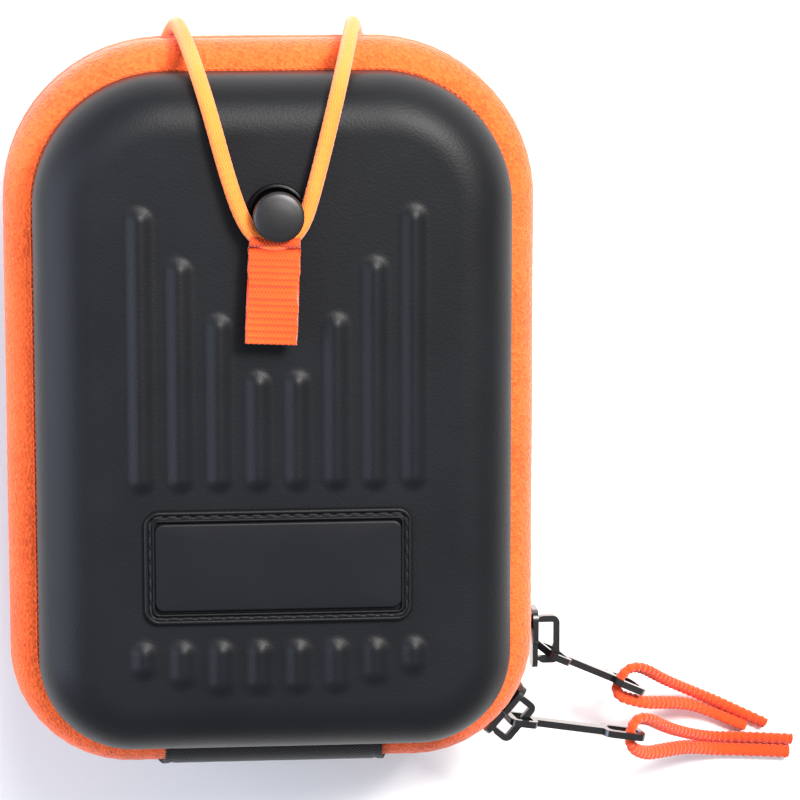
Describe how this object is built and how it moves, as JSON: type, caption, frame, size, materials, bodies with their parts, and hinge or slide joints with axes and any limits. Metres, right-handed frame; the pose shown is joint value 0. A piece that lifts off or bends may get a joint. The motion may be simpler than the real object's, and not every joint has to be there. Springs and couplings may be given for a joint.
{
  "type": "laser rangefinder case",
  "caption": "Hard-shell carrying case for a hand-held laser rangefinder: two moulded halves on a zip, with an elastic cord and tab that hook on a front knob.",
  "frame": {"origin": "middle of the belt strap's outer face, on which the case lies", "axes": "+Z out of the front face, +Y towards the top where the elastic goes over, +X to the side with the zip sliders"},
  "size_m": [0.1648, 0.16, 0.0641],
  "materials": {
    "shell_skin": "fine pebbled polyurethane skin over moulded EVA foam, satin",
    "lining": "short black fleece",
    "gusset_knit": "orange stretch knit, matt",
    "zip_coil": "moulded nylon coil",
    "hinge_strip": "black woven strip",
    "strap_webbing": "black flat webbing",
    "elastic_cord": "braided cover over rubber strands",
    "tab_webbing": "woven polyester webbing with heat-pressed fold",
    "braid": "narrow ribbed braid",
    "badge_rubber": "moulded soft rubber, satin",
    "badge_panel": "smooth satin film",
    "thread": "bonded black thread",
    "knob_cap": "moulded black nylon, satin",
    "dark_metal": "black plated steel",
    "slider_metal": "black painted zinc, glossy",
    "pull_metal": "black painted zinc, glossy"
  },
  "bodies": {
    "root": {"rear_shell": "shell_skin", "rear_lining": "lining", "rear_gusset": "gusset_knit", "rear_zip_coil": "zip_coil", "rear_hinge_leaf": "hinge_strip", "zip_end_stops": "zip_coil", "belt_strap": "strap_webbing", "belt_strap_stitching": "strap_webbing", "cord_eyelets": "dark_metal", "cord_eyelet_washers": "dark_metal", "elastic_rear_strands": "elastic_cord", "elastic_stop_knots": "elastic_cord"},
    "lid": {"front_shell": "shell_skin", "front_lining": "lining", "front_gusset": "gusset_knit", "front_zip_coil": "zip_coil", "front_hinge_leaf": "hinge_strip", "badge_frame": "badge_rubber", "badge_panel": "badge_panel", "badge_stitching": "thread", "knob_base": "dark_metal", "knob": "knob_cap", "knob_rivet_washer": "dark_metal"},
    "closure_loop": {"elastic_front_loop": "elastic_cord", "pull_tab": "tab_webbing", "pull_tab_seam": "tab_webbing"},
    "slider_a": {"zip_slider_a": "slider_metal", "zip_slider_bail_a": "slider_metal"},
    "slider_b": {"zip_slider_b": "slider_metal", "zip_slider_bail_b": "slider_metal"},
    "pull_a": {"zip_pull_a": "pull_metal", "pull_a_braid_upper": "braid", "pull_a_braid_lower": "braid"},
    "pull_b": {"zip_pull_b": "pull_metal", "pull_b_braid_upper": "braid", "pull_b_braid_lower": "braid"}
  },
  "joints": [
    {"name": "lid_swing", "type": "hinge", "parent": "root", "child": "lid", "pos_m": [0, -0.0732, 0.0285], "axis": [1, 0, 0], "range_deg": [0, 165]},
    {"name": "loop_flip", "type": "hinge", "parent": "root", "child": "closure_loop", "pos_m": [0, 0.07645, 0.0285], "axis": [-1, 0, 0], "range_deg": [0, 165], "deforming": ["elastic_front_loop", "pull_tab", "pull_tab_seam"]},
    {"name": "slider_a_run", "type": "slide", "parent": "root", "child": "slider_a", "axis": [0, 1, 0], "range_m": [0, 0.075]},
    {"name": "slider_b_run", "type": "hinge", "parent": "root", "child": "slider_b", "pos_m": [0.02815, -0.04825, 0.0285], "axis": [0, 0, 1], "range_deg": [-40, 0]},
    {"name": "pull_a_swing", "type": "hinge", "parent": "slider_a", "child": "pull_a", "pos_m": [0.05595, -0.0527, 0.0285], "axis": [0, 0, 1], "range_deg": [0, 58]},
    {"name": "pull_b_swing", "type": "hinge", "parent": "slider_b", "child": "pull_b", "pos_m": [0.0488, -0.06689, 0.0285], "axis": [0, 0, 1], "range_deg": [-70, 0]}
  ]
}
